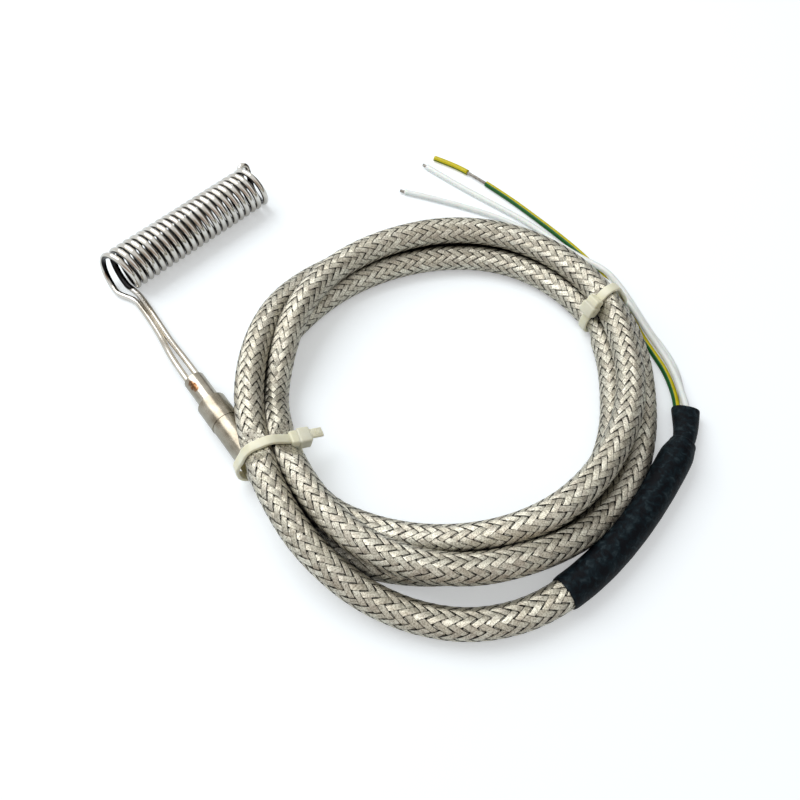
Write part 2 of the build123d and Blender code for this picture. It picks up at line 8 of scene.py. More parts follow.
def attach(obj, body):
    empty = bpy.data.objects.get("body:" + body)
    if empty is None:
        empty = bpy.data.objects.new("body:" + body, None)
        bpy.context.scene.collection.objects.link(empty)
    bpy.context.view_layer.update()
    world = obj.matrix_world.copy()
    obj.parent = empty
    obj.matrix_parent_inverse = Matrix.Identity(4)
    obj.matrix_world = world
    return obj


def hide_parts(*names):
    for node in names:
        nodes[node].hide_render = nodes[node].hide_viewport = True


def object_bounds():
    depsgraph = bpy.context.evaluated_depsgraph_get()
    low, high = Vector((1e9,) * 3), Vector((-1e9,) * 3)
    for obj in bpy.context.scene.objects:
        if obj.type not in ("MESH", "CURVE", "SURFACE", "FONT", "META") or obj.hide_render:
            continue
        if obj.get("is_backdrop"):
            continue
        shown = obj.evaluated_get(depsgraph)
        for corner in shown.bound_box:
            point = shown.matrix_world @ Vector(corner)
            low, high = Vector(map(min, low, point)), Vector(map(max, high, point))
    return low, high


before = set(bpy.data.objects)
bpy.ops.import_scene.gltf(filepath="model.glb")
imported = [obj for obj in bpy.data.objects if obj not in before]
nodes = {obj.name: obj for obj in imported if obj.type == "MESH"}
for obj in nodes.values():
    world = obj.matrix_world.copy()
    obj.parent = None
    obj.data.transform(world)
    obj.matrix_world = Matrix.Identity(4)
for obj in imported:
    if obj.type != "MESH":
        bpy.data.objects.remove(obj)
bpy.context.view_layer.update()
rng = random.Random(7)

# Named lengths are in millimetres, apart from the floor's and the lamp's, and MM turns them into metres
MM = 0.001
UP = np.array([0, 0, 1.0])
FLOOR = -6.8
FLOOR_GAP = 0.02

# Camera: above the lead's near side, looking down at 57 degrees
SENSOR = 36
FOCAL_PIXELS = 779.3
PICTURE_PIXELS = 800
CAM_AT = Vector((-51.98, -167.15, 170.8)) * MM
CAM_RIGHT = Vector((0.6956, -0.7184, 0.0)).normalized()
CAM_FLAT = Vector((0.7184, 0.6956, 0.0)).normalized()
DOWN = math.radians(57)
CAM_FORWARD = CAM_FLAT * math.cos(DOWN) - Vector((0, 0, 1)) * math.sin(DOWN)
CAM_UP = CAM_RIGHT.cross(CAM_FORWARD)
camera = bpy.data.objects.new("camera", bpy.data.cameras.new("camera"))
bpy.context.scene.collection.objects.link(camera)
camera.matrix_world = Matrix((
    (CAM_RIGHT.x, CAM_UP.x, -CAM_FORWARD.x, CAM_AT.x),
    (CAM_RIGHT.y, CAM_UP.y, -CAM_FORWARD.y, CAM_AT.y),
    (CAM_RIGHT.z, CAM_UP.z, -CAM_FORWARD.z, CAM_AT.z),
    (0, 0, 0, 1),
))
camera.data.sensor_width = SENSOR
camera.data.lens = SENSOR * FOCAL_PIXELS / PICTURE_PIXELS
camera.data.clip_start = 0.01
camera.data.clip_end = 20
bpy.context.scene.camera = camera


# Lines, frames and meshes
def nurbs_line(points, steps=8):
    """The line of a NURBS spline whose control points are these, in millimetres."""
    curve = bpy.data.curves.new("route", "CURVE")
    curve.dimensions = "3D"
    spline = curve.splines.new("NURBS")
    spline.points.add(len(points) - 1)
    for control, p in zip(spline.points, points):
        control.co = (p[0] * MM, p[1] * MM, p[2] * MM, 1)
    spline.order_u = 3
    spline.use_endpoint_u = True
    spline.resolution_u = steps
    curve.resolution_u = steps
    holder = bpy.data.objects.new("route", curve)
    bpy.context.scene.collection.objects.link(holder)
    depsgraph = bpy.context.evaluated_depsgraph_get()
    made = bpy.data.meshes.new_from_object(holder.evaluated_get(depsgraph))
    line = np.array([v.co[:] for v in made.vertices])
    bpy.data.objects.remove(holder)
    bpy.data.curves.remove(curve)
    bpy.data.meshes.remove(made)
    first, last = np.linalg.norm(line[[0, -1]] - np.array(points[0]) * MM, axis=1)
    return line[::-1] if first > last else line


def lengths(line):
    """How far along the line each of its points is."""
    return np.concatenate([[0], np.cumsum(np.linalg.norm(np.diff(line, axis=0), axis=1))])


def at_lengths(line, s):
    """The places at these lengths along the line."""
    have = lengths(line)
    return np.stack([np.interp(s, have, line[:, k]) for k in range(3)], -1)


def even(line, step):
    """The same line, with its points about this far apart."""
    total = lengths(line)[-1]
    return at_lengths(line, np.linspace(0, total, max(3, int(round(total / step)) + 1)))


def tangents(line):
    """The line's direction at each of its points."""
    t = np.gradient(line, axis=0)
    return t / np.linalg.norm(t, axis=1)[:, None]


def moving_frame(line):
    """Side and up along a line, carried along without twist."""
    t = tangents(line)
    up = np.zeros_like(t)
    u = UP
    for k in range(len(t)):
        u = u - t[k] * np.dot(u, t[k])
        u = u / np.linalg.norm(u)
        up[k] = u
    return np.cross(up, t), up


def upright_frame(line):
    """Side and up along a line, with up as near to vertical as the line lets it."""
    t = tangents(line)
    up = UP - t * t[:, 2:3]
    up /= np.linalg.norm(up, axis=1)[:, None]
    return np.cross(up, t), up


def new_piece(name, verts, faces, material, slot, uv=None, tint=None, modifier=None, **settings):
    """A visible piece on the part's body, with its material and at most one modifier; the slot is not used.
    """
    mesh = bpy.data.meshes.new(name)
    verts = np.asarray(verts, float).reshape(-1, 3)
    faces = [tuple(int(i) for i in f) for f in faces]
    mesh.from_pydata([tuple(v) for v in verts], [], faces)
    if uv is not None:
        layer = mesh.uv_layers.new(name="UVMap")
        loop_vertex = np.zeros(len(mesh.loops), np.int32)
        mesh.loops.foreach_get("vertex_index", loop_vertex)
        layer.data.foreach_set("uv", np.asarray(uv, np.float32)[loop_vertex].ravel())
    if tint is not None:
        attribute = mesh.attributes.new("tint", "FLOAT", "POINT")
        attribute.data.foreach_set("value", np.asarray(tint, np.float32))
    mesh.validate()
    mesh.polygons.foreach_set("use_smooth", [True] * len(mesh.polygons))
    mesh.materials.append(material)
    piece = bpy.data.objects.new(name, mesh)
    bpy.context.scene.collection.objects.link(piece)
    if modifier:
        made = piece.modifiers.new(modifier.lower(), modifier)
        for key, value in settings.items():
            setattr(made, key, value)
    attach(piece, "root")
    return piece


def grid_faces(rows, columns, ring=False):
    """Quads of a grid whose columns close on themselves, and whose rows do so too in a ring."""
    faces = []
    for r in range(rows if ring else rows - 1):
        here, ahead = r * columns, (r + 1) % rows * columns
        for c in range(columns):
            d = (c + 1) % columns
            faces.append((here + c, here + d, ahead + d, ahead + c))
    return faces


def tube(name, line, radius, material, slot, around=24):
    """A round closed tube. Its UV goes from one side to the other and back, and along in millimetres."""
    side, up = upright_frame(line)
    radius = np.broadcast_to(np.asarray(radius, float), (len(line),))
    angles = np.linspace(0, 2 * math.pi, around, endpoint=False)
    s = lengths(line)
    verts, uv = [], []
    for k in range(len(line)):
        for n, a in enumerate(angles):
            verts.append(line[k] + (side[k] * math.cos(a) + up[k] * math.sin(a)) * radius[k])
            uv.append((1 - abs(1 - 2 * n / around), s[k] / MM))
    faces = grid_faces(len(line), around)
    last = (len(line) - 1) * around
    faces.append(tuple(range(around))[::-1])
    faces.append(tuple(range(last, last + around)))
    return new_piece(name, verts, faces, material, slot, uv)


# Materials
def material(name):
    """A new material, its nodes and its shader."""
    mat = bpy.data.materials.new(name)
    mat.use_nodes = True
    tree = mat.node_tree
    return mat, tree, tree.nodes["Principled BSDF"]


def add(tree, kind, **settings):
    """A new node with these settings."""
    node = tree.nodes.new(kind)
    for key, value in settings.items():
        setattr(node, key, value)
    return node


def set_in(node, **values):
    """Sets a node's inputs by their names, with _ for a space."""
    for key, value in values.items():
        node.inputs[key.replace("_", " ")].default_value = value


def math_node(tree, operation, *values):
    """Arithmetic on linked values and plain numbers."""
    node = add(tree, "ShaderNodeMath", operation=operation)
    for socket, value in zip(node.inputs, values):
        if isinstance(value, (int, float)):
            socket.default_value = value
        else:
            tree.links.new(value, socket)
    return node.outputs[0]


def vector_node(tree, operation, source, vector=None):
    """Arithmetic on a linked vector and a plain one."""
    node = add(tree, "ShaderNodeVectorMath", operation=operation)
    tree.links.new(source, node.inputs[0])
    if vector is not None:
        node.inputs[1].default_value = tuple(vector)
    return node.outputs["Value" if operation in ("LENGTH", "DOT_PRODUCT") else "Vector"]


def first_part(tree, vector):
    """The first number of a vector."""
    node = add(tree, "ShaderNodeSeparateXYZ")
    tree.links.new(vector, node.inputs[0])
    return node.outputs[0]


def ramp(tree, source, stops):
    """Colours by a value, from stops of a place and a colour or a grey level."""
    node = add(tree, "ShaderNodeValToRGB")
    elements = node.color_ramp.elements
    while len(elements) < len(stops):
        elements.new(0.5)
    for element, (place, colour) in zip(elements, stops):
        element.position = place
        element.color = (*colour, 1) if isinstance(colour, tuple) else (colour, colour, colour, 1)
    tree.links.new(source, node.inputs[0])
    return node.outputs[0]


def in_object(tree):
    """The place on the object, in metres."""
    return add(tree, "ShaderNodeTexCoord").outputs["Object"]


def noise(tree, scale, detail=3.0, coordinates=None, distortion=0.0):
    """A noise of this many waves to the metre."""
    node = add(tree, "ShaderNodeTexNoise")
    set_in(node, Scale=scale, Detail=detail, Distortion=distortion)
    if coordinates is None:
        coordinates = in_object(tree)
    tree.links.new(coordinates, node.inputs["Vector"])
    return node.outputs["Fac"]


def stretched(tree, vector):
    """The place on the object, with each direction scaled by the vector."""
    node = add(tree, "ShaderNodeMapping")
    node.inputs["Scale"].default_value = vector
    tree.links.new(in_object(tree), node.inputs["Vector"])
    return node.outputs[0]


def mix_colour(tree, factor, a, b, blend="MIX"):
    """Two colours blended by a factor, each linked or plain."""
    node = add(tree, "ShaderNodeMix", data_type="RGBA", blend_type=blend)
    for socket, value in ((0, factor), (6, a), (7, b)):
        if isinstance(value, (int, float)):
            node.inputs[socket].default_value = value
        elif isinstance(value, tuple):
            node.inputs[socket].default_value = (*value, 1)
        else:
            tree.links.new(value, node.inputs[socket])
    return node.outputs[2]


def multiplied(tree, first, *others):
    """Colours multiplied by each other."""
    result = first
    for colour in others:
        result = mix_colour(tree, 1.0, result, colour, "MULTIPLY")
    return result


def paint(tree, shader, colour):
    """Gives the shader its colour."""
    tree.links.new(colour, shader.inputs["Base Color"])


def blotched(tree, shader, source, dark, light):
    """Paint that changes softly from dark to light with a noise."""
    paint(tree, shader, ramp(tree, source, [(0.3, dark), (0.7, light)]))


def polish(tree, shader, source, least, spread):
    """Roughness that is uneven by this spread above its least."""
    tree.links.new(math_node(tree, "MULTIPLY_ADD", source, spread, least), shader.inputs["Roughness"])


def bump(tree, shader, height, height_mm, strength=1.0):
    """Fine relief, this high in millimetres where the height is 1."""
    node = add(tree, "ShaderNodeBump")
    set_in(node, Distance=height_mm * MM, Strength=strength)
    tree.links.new(height, node.inputs["Height"])
    tree.links.new(node.outputs[0], shader.inputs["Normal"])


def across_uv(tree):
    """How far across a bundle or a wire, from 0 to 1."""
    return first_part(tree, add(tree, "ShaderNodeUVMap", uv_map="UVMap").outputs[0])


def steel(name, light, dark, roughness, scale=900.0, grain=(1, 1, 1), bump_mm=0.004):
    """Bright metal with uneven colour, fine grain and uneven polish."""
    mat, tree, shader = material(name)
    set_in(shader, Metallic=1.0)
    where = stretched(tree, grain)
    patches = noise(tree, scale * 0.25, 4.0, where)
    fine = noise(tree, scale * 3, 2.0, where)
    colour = ramp(tree, patches, [(0.3, dark), (0.7, light)])
    paint(tree, shader, colour)
    polish(tree, shader, fine, roughness - 0.07, 0.14)
    bump(tree, shader, fine, bump_mm)
    return mat, tree, shader, colour


# Sheath: polished, with near-black painted shade on the coil's inner side and between its turns, and a
# little brown on the legs.
# The ramps run over the first 10 mm from the bore's mouth and the first 10 and 20 mm from its axis.
PER_10_MM = 100.0
PER_20_MM = 50.0
sheath_mat, tree, shader, bright = steel(
    "sheath_metal", (0.72, 0.705, 0.67), (0.56, 0.53, 0.475), 0.13, 1100,
)
from_axis = vector_node(tree, "LENGTH", stretched(tree, (0, 1, 1)))
from_mouth = math_node(tree, "MULTIPLY", first_part(tree, in_object(tree)), PER_10_MM)
at_mouth = ramp(tree, from_mouth, [(0.0, 0.11), (0.12, 0.0)])
reach = math_node(tree, "ADD", math_node(tree, "MULTIPLY", from_axis, PER_10_MM), at_mouth)
# Painted shade: near black on the coil's inner side and in the gaps between its turns, a little less at the
# bore's mouth
painted_coil_shade = ramp(tree, reach, [
    (0.50, (0.03, 0.03, 0.035)), (0.594, (0.006, 0.005, 0.005)),
    (0.612, (0.55, 0.53, 0.50)), (0.628, 1.0),
])
far_out = math_node(tree, "MULTIPLY", from_axis, PER_20_MM)
on_legs = ramp(tree, far_out, [(0.40, 1.0), (0.62, (0.84, 0.81, 0.76))])
paint(tree, shader, multiplied(tree, bright, on_legs, painted_coil_shade))

pin_mat = steel("pin_metal", (0.72, 0.70, 0.66), (0.60, 0.58, 0.54), 0.3)[0]
sleeve_mat = steel(
    "sleeve_metal", (0.44, 0.41, 0.34), (0.20, 0.17, 0.125), 0.25, 1300, (1, 0.5, 1), 0.008,
)[0]
brass_mat = steel("crimp_metal", (0.78, 0.70, 0.50), (0.66, 0.58, 0.40), 0.35)[0]
core_mat = steel("conductor_metal", (0.40, 0.38, 0.34), (0.20, 0.18, 0.16), 0.40, 2500)[0]

# Ferrule: turned metal with a ragged brown heat stain near its mouth. The stain's ramp runs over 4 mm.
STAIN_AT = (-7.03, -47.9, 0.15)
STAIN_NARROWING = (1.25, 0.55, 0.8)
STAIN_RAGGED = 2.0
PER_4_MM = 250.0
ferrule_mat, tree, shader, clean = steel(
    "ferrule_metal", (0.50, 0.47, 0.40), (0.28, 0.25, 0.20), 0.21, 1300, (1, 0.4, 1), 0.006,
)
from_stain = vector_node(tree, "SUBTRACT", in_object(tree), [c * MM for c in STAIN_AT])
away = vector_node(tree, "LENGTH", vector_node(tree, "MULTIPLY", from_stain, STAIN_NARROWING))
ragged = math_node(tree, "MULTIPLY_ADD", noise(tree, 1100, 3.0), STAIN_RAGGED * MM, -STAIN_RAGGED / 2 * MM)
stain_edge = math_node(tree, "MULTIPLY", math_node(tree, "ADD", away, ragged), PER_4_MM)
amount = ramp(tree, stain_edge, [(0.20, 1.0), (0.34, 0.0)])
burnt = ramp(tree, noise(tree, 1800, 2.0), [(0.35, (0.08, 0.034, 0.012)), (0.65, (0.25, 0.125, 0.055))])
paint(tree, shader, mix_colour(tree, amount, clean, burnt))

# Braid: flat bundles of six fine bright wires, with painted shade between the wires and in broken black
# strokes along the bundles' edges. The gaps between the lead's passes get black painted shade, found by how
# closed in a place is.
WIRES_IN_BUNDLE = 6
GAP_REACH = 3.0
braid_mat, tree, shader = material("braid_metal")
across = across_uv(tree)
bundle_tint = add(tree, "ShaderNodeAttribute", attribute_name="tint").outputs["Fac"]
wave = math_node(tree, "SINE", math_node(tree, "MULTIPLY", across, math.pi * WIRES_IN_BUNDLE))
wires = math_node(tree, "ABSOLUTE", wave)
from_middle = math_node(tree, "ABSOLUTE", math_node(tree, "SUBTRACT", across, 0.5))
patches = noise(tree, 450, 3.0)
fleck = noise(tree, 2600, 2.0)
metal = ramp(tree, patches, [
    (0.3, (0.70, 0.66, 0.57)), (0.55, (0.86, 0.845, 0.73)), (0.75, (0.95, 0.94, 0.82)),
])
# Painted shade in the grooves between the fine wires
painted_wire_shade = ramp(tree, wires, [(0.0, (0.55, 0.52, 0.48)), (0.45, 1.0)])
by_bundle = ramp(tree, bundle_tint, [(0.0, (0.8, 0.78, 0.75)), (1.0, 1.0)])
by_fleck = ramp(tree, fleck, [(0.40, (0.62, 0.60, 0.57)), (0.56, 1.0)])
# Painted shade: black strokes along the bundles' edges, deep in places and faint in others
painted_deep_edge_shade = ramp(tree, from_middle, [(0.375, 1.0), (0.445, 0.004)])
painted_faint_edge_shade = ramp(tree, from_middle, [(0.42, 1.0), (0.49, (0.30, 0.28, 0.25))])
stroke = ramp(tree, noise(tree, 620, 1.0), [(0.43, 0.0), (0.51, 1.0)])
painted_bundle_edge_shade = mix_colour(tree, stroke, painted_faint_edge_shade, painted_deep_edge_shade)
# Painted shade: near black in the gaps between the lead's passes, where a place is closed in
closed_in = add(tree, "ShaderNodeAmbientOcclusion", samples=6)
closed_in.inputs["Distance"].default_value = GAP_REACH * MM
painted_pass_gap_shade = ramp(tree, closed_in.outputs["AO"], [(0.20, (0.015, 0.015, 0.016)), (0.42, 1.0)])
paint(tree, shader, multiplied(tree, metal, painted_wire_shade, by_bundle, by_fleck, painted_bundle_edge_shade, painted_pass_gap_shade))
set_in(shader, Metallic=0.84)
polish(tree, shader, fleck, 0.20, 0.25)
bump(tree, shader, math_node(tree, "ADD", wires, math_node(tree, "MULTIPLY", fleck, 0.5)), 0.06, 0.8)

# Dark inside of the braid
inside_mat, tree, shader = material("braid_inside")
blotched(tree, shader, noise(tree, 900), (0.006, 0.005, 0.005), (0.02, 0.018, 0.016))
set_in(shader, Roughness=0.7)

# Matte black shrink tube with faint scuffs
shrink_mat, tree, shader = material("black_shrink_tube")
shader.inputs["Specular IOR Level"].default_value = 0.11
cloud = noise(tree, 620, 6.0, None, 0.5)
grit = noise(tree, 3800, 2.0)
paint(tree, shader, ramp(tree, cloud, [
    (0.42, (0.0004, 0.0012, 0.003)), (0.56, (0.003, 0.009, 0.013)), (0.72, (0.024, 0.036, 0.042)),
]))
polish(tree, shader, cloud, 0.42, 0.25)
bump(tree, shader, math_node(tree, "ADD", grit, math_node(tree, "MULTIPLY", cloud, 3.0)), 0.09, 0.8)

# Natural nylon
nylon_mat, tree, shader = material("natural_nylon")
blotched(tree, shader, noise(tree, 300, 4.0), (0.78, 0.75, 0.55), (0.88, 0.86, 0.68))
set_in(shader, Roughness=0.34, Subsurface_Weight=0.35, Subsurface_Scale=0.0015)
shader.inputs["Subsurface Radius"].default_value = (1.0, 0.9, 0.7)
bump(tree, shader, noise(tree, 1500, 2.0), 0.02, 0.5)

# White wire insulation
white_mat, tree, shader = material("white_insulation")
blotched(tree, shader, noise(tree, 400, 3.0), (0.84, 0.88, 0.85), (0.89, 0.92, 0.89))
set_in(shader, Roughness=0.32, Subsurface_Weight=0.1, Subsurface_Scale=0.0005)
bump(tree, shader, noise(tree, 2500, 2.0), 0.01, 0.4)


# Earth wire insulation
def striped(name, green_to):
    """Insulation that is green on one side, up to this share of the way across, and yellow beyond it."""
    mat, tree, shader = material(name)
    drift = math_node(tree, "MULTIPLY", noise(tree, 60, 2.0), 0.06)
    place = math_node(tree, "ADD", across_uv(tree), drift)
    stripe = ramp(tree, place, [(green_to, (0.008, 0.12, 0.018)), (green_to + 0.03, (0.66, 0.56, 0.008))])
    dirt = ramp(tree, noise(tree, 900, 3.0), [(0.3, 0.80), (0.7, 1.0)])
    paint(tree, shader, multiplied(tree, stripe, dirt))
    set_in(shader, Roughness=0.33)
    shader.inputs["Specular IOR Level"].default_value = 0.28
    bump(tree, shader, noise(tree, 2500, 2.0), 0.01, 0.4)
    return mat


earth_mat = striped("earth_insulation", 0.40)
slug_mat = striped("slug_insulation", 0.08)

# Ceramic bead and cement, sealed in the sleeve
ceramic_mat, tree, shader = material("fired_ceramic")
blotched(tree, shader, noise(tree, 800), (0.80, 0.77, 0.70), (0.90, 0.88, 0.82))
set_in(shader, Roughness=0.6)
cement_mat, tree, shader = material("potting_cement")
blotched(tree, shader, noise(tree, 1500, 6.0), (0.62, 0.58, 0.50), (0.80, 0.77, 0.70))
set_in(shader, Roughness=0.85)
bump(tree, shader, noise(tree, 4000, 3.0), 0.05, 0.8)

for name, mat in (
    ("heater_sheath", sheath_mat), ("ferrule", ferrule_mat), ("transition_sleeve", sleeve_mat),
    ("insulating_bead", ceramic_mat), ("potting_cement", cement_mat), ("earth_tail", cement_mat),
    ("terminal_pin_1", pin_mat), ("terminal_pin_2", pin_mat), ("braid_start", inside_mat),
    ("splice_1", brass_mat), ("splice_2", brass_mat), ("earth_crimp", brass_mat),
    ("lead_tail_1", white_mat), ("lead_tail_2", white_mat),
):
    nodes[name].data.materials.clear()
    nodes[name].data.materials.append(mat)

# The lead's route. A pass holds a radius and a height above the floor for each angle about the ring's
# centre, and the first pass starts one angle late, at the sleeve.
RING = np.array([40.0, -98.0, 0.0])
RING_SCALE = 1.006
ANGLES = tuple(range(165, 511, 15))
PASS_1 = (
    (53.9, 4.2), (52.3, 3.85), (50.0, 3.85), (48.0, 3.85), (46.0, 3.85), (43.8, 3.85),
    (42.8, 3.85), (42.6, 3.85), (42.4, 3.85), (42.8, 3.85), (45.2, 3.85), (48.3, 3.85),
    (49.9, 3.85), (51.0, 3.85), (51.0, 3.85), (50.0, 3.85), (49.2, 3.85), (49.0, 3.85),
    (49.4, 3.85), (50.3, 3.85), (52.2, 3.85), (54.4, 3.85), (49.2, 3.85),
)
PASS_2 = (
    (46.4, 3.85), (46.5, 3.85), (44.0, 3.85), (42.4, 4.6), (42.8, 8.2), (43.0, 10.2),
    (43.1, 11.3), (42.9, 11.2), (43.1, 11.1), (44.2, 11.1), (45.7, 11.0), (47.5, 11.0),
    (50.8, 10.6), (53.6, 9.9), (55.1, 10.1), (55.3, 10.5), (54.5, 10.7), (53.2, 10.5),
    (52.0, 10.7), (50.7, 11.0), (48.7, 11.0), (47.3, 9.0), (47.6, 4.9), (46.8, 10.0),
)
PASS_3 = (
    (47.2, 11.0), (48.5, 11.5), (50.3, 11.3), (51.2, 11.3), (51.0, 10.2), (50.0, 9.2),
    (49.6, 7.2), (49.8, 3.9), (49.8, 3.85), (49.5, 3.85), (50.0, 3.85), (52.5, 3.85),
    (55.4, 3.85), (58.0, 3.85), (59.1, 3.85), (58.0, 3.85), (57.0, 3.85), (56.2, 3.85),
    (56.2, 3.85), (56.8, 5.0), (55.4, 9.0), (54.0, 10.9), (53.3, 11.1), (53.1, 11.6),
)
LAST_PASS = ((54.0, 12.1),)
SLEEVE_END = (-11.57, -84.76, -1.05)
RUN = (
    (-14.6, -90.5, 4.9), (-16.8, -99.5, 4.05), (-17.2, -109.3, 2.1), (-15.5, -120.4, -0.9),
    (-10.6, -132.2, -2.7), (-2.6, -143.0, -2.9), (9.6, -150.9, -2.8), (24.5, -154.2, -2.5),
    (40.0, -154.5, -2.5), (54.5, -153.0, -2.5), (62.5, -151.5, -2.5),
)
lead_route = [SLEEVE_END]
for angles, stations in (
    (ANGLES[1:], PASS_1), (ANGLES, PASS_2), (ANGLES, PASS_3), (ANGLES, LAST_PASS),
):
    for angle, (radius, height) in zip(angles, stations):
        a, r = math.radians(angle), radius * RING_SCALE
        lead_route.append((RING[0] + r * math.cos(a), RING[1] + r * math.sin(a), FLOOR + height))
lead_route += RUN
lead_line = nurbs_line(lead_route, 12)
lead_length = lengths(lead_line)[-1]

# Nylon ties. Each lies in an upright plane through the ring's centre, at this angle. Its strap's corners and
# its head's middle are a distance from the centre and a height, the head's angle is the way the strap leaves
# it, and the tail is how long the strap's free end shows.
TIE_1 = {
    "angle": 157.6, "head": (42.6, 3.8), "head_angle": 198.0, "tail": 2.9, "replaces": "cable_tie_1",
    "corners": ((60.0, -5.8), (60.2, 1.0), (56.0, 8.2), (49.5, 8.6), (43.3, 4.6), (42.0, -6.8)),
}
TIE_2 = {
    "angle": 346.8, "head": (45.8, 4.5), "head_angle": 238.7, "tail": 0.0, "replaces": "cable_tie_2",
    "corners": ((59.8, -6.8), (59.8, -0.7), (54.1, 8.6), (49.3, 8.6), (43.9, -0.6), (43.9, -6.8)),
}
STRAP = 2.6
STRAP_CORNER = 4.4

# How the straps draw the lead in: the depth under a strap, the slope and softness with which it eases
# off, how far along the lead it is felt, and how far from the ring's centre the lead begins
PULL_DEPTH = 1.02
PULL_SLOPE = 1.3
PULL_SOFTNESS = 7.0
PULL_FELT = 14
PULL_FROM = 30


def rounded(corners, radius, steps=7):
    """A closed outline through these corners, each rounded by an arc."""
    made = []
    count = len(corners)
    for k in range(count):
        before, here, after = (np.array(corners[(k + d) % count], float) for d in (-1, 0, 1))
        a = (before - here) / np.linalg.norm(before - here)
        b = (after - here) / np.linalg.norm(after - here)
        half = math.acos(max(-1, min(1, float(a @ b)))) / 2
        reach = radius / math.tan(half)
        centre = here + (a + b) / np.linalg.norm(a + b) * radius / math.sin(half)
        start, end = here + a * reach, here + b * reach
        a0 = math.atan2(*(start - centre)[::-1])
        a1 = math.atan2(*(end - centre)[::-1])
        turn = (a1 - a0 + math.pi) % (2 * math.pi) - math.pi
        for n in range(steps + 1):
            angle = a0 + turn * n / steps
            made.append(centre + radius * np.array([math.cos(angle), math.sin(angle)]))
    return np.array(made)


def tie_axes(spec):
    """Directions away from the ring's centre and along the lead, at a tie."""
    a = math.radians(spec["angle"])
    return np.array([math.cos(a), math.sin(a), 0.0]), np.array([math.sin(a), -math.cos(a), 0.0])


def pressed(points, deeper=0.0):
    """Points in metres, pushed in under the ties where the straps draw the lead together."""
    moved = np.array(points, float)
    for spec in (TIE_1, TIE_2):
        radial, normal = tie_axes(spec)
        rel = moved / MM - RING
        across, out = rel @ normal, rel @ radial
        near = (np.abs(across) < PULL_FELT) & (out > PULL_FROM)
        if not near.any():
            continue
        outline = rounded(spec["corners"], STRAP_CORNER)
        flat = np.stack([out[near], rel[near][:, 2]], -1)
        room = np.clip(np.abs(across[near]) - STRAP / 2, 0, None)
        allowed = room ** 2 / (room + PULL_SOFTNESS) * PULL_SLOPE - PULL_DEPTH - deeper
        along = np.roll(outline, -1, 0) - outline
        along /= np.linalg.norm(along, axis=1)[:, None]
        outward = np.stack([along[:, 1], -along[:, 0]], -1)
        outward *= np.sign(((outline - outline.mean(0)) * outward).sum(1))[:, None]
        over = ((flat[:, None, :] - outline[None]) * outward[None]).sum(-1)
        excess = np.maximum(over.max(1) - allowed, 0)
        flat = flat - outward[over.argmax(1)] * excess[:, None]
        flat[:, 1] = np.maximum(flat[:, 1], FLOOR + FLOOR_GAP)
        shifted = rel[near] + radial * (flat[:, 0] - out[near])[:, None]
        shifted[:, 2] = flat[:, 1]
        moved[near] = (shifted + RING) * MM
    return moved


# Braid: twelve bundles each way, two over and two under, round a dark inside. Both are a little thinner
# where the lead leaves the sleeve.
BRAID_R = 3.66
BUNDLES = 12
LAY = 38.6
LAY_ANGLE = math.atan2(2 * math.pi * BRAID_R, LAY)
OVER_AND_UNDER = 4
BUNDLE_WIDTH = 1.54
BUNDLE_SPREAD = (0.93, 1.02)
BUNDLE_SHIFT = 0.05
BUNDLE_POINTS = (-0.5, -0.27, 0.0, 0.27, 0.5)
CROWN = 0.03
WAVE = 0.12
WAVE_FLATNESS = 1.5
THIN_END = 0.86
THIN_LENGTH = 7
THIN_POWER = 0.7
FRAME_STEP = 0.5
BRAID_STEP = 0.62
BRAID_PARTS = 6
INSIDE_R = 3.4
INSIDE_THIN_R = 2.9
INSIDE_THIN_LENGTH = 6
INSIDE_DEEPER = 0.45
INSIDE_STEP = 2.0
inside_line = even(lead_line, INSIDE_STEP * MM)
grow = np.clip(lengths(inside_line) / (INSIDE_THIN_LENGTH * MM), 0, 1)
inside_radius = (INSIDE_THIN_R + (INSIDE_R - INSIDE_THIN_R) * grow) * MM
lead_inside = tube("lead_inside", inside_line, inside_radius, inside_mat, "braid_metal", 20)
drawn_in = pressed([v.co[:] for v in lead_inside.data.vertices], INSIDE_DEEPER)
for vertex, place in zip(lead_inside.data.vertices, drawn_in):
    vertex.co = place


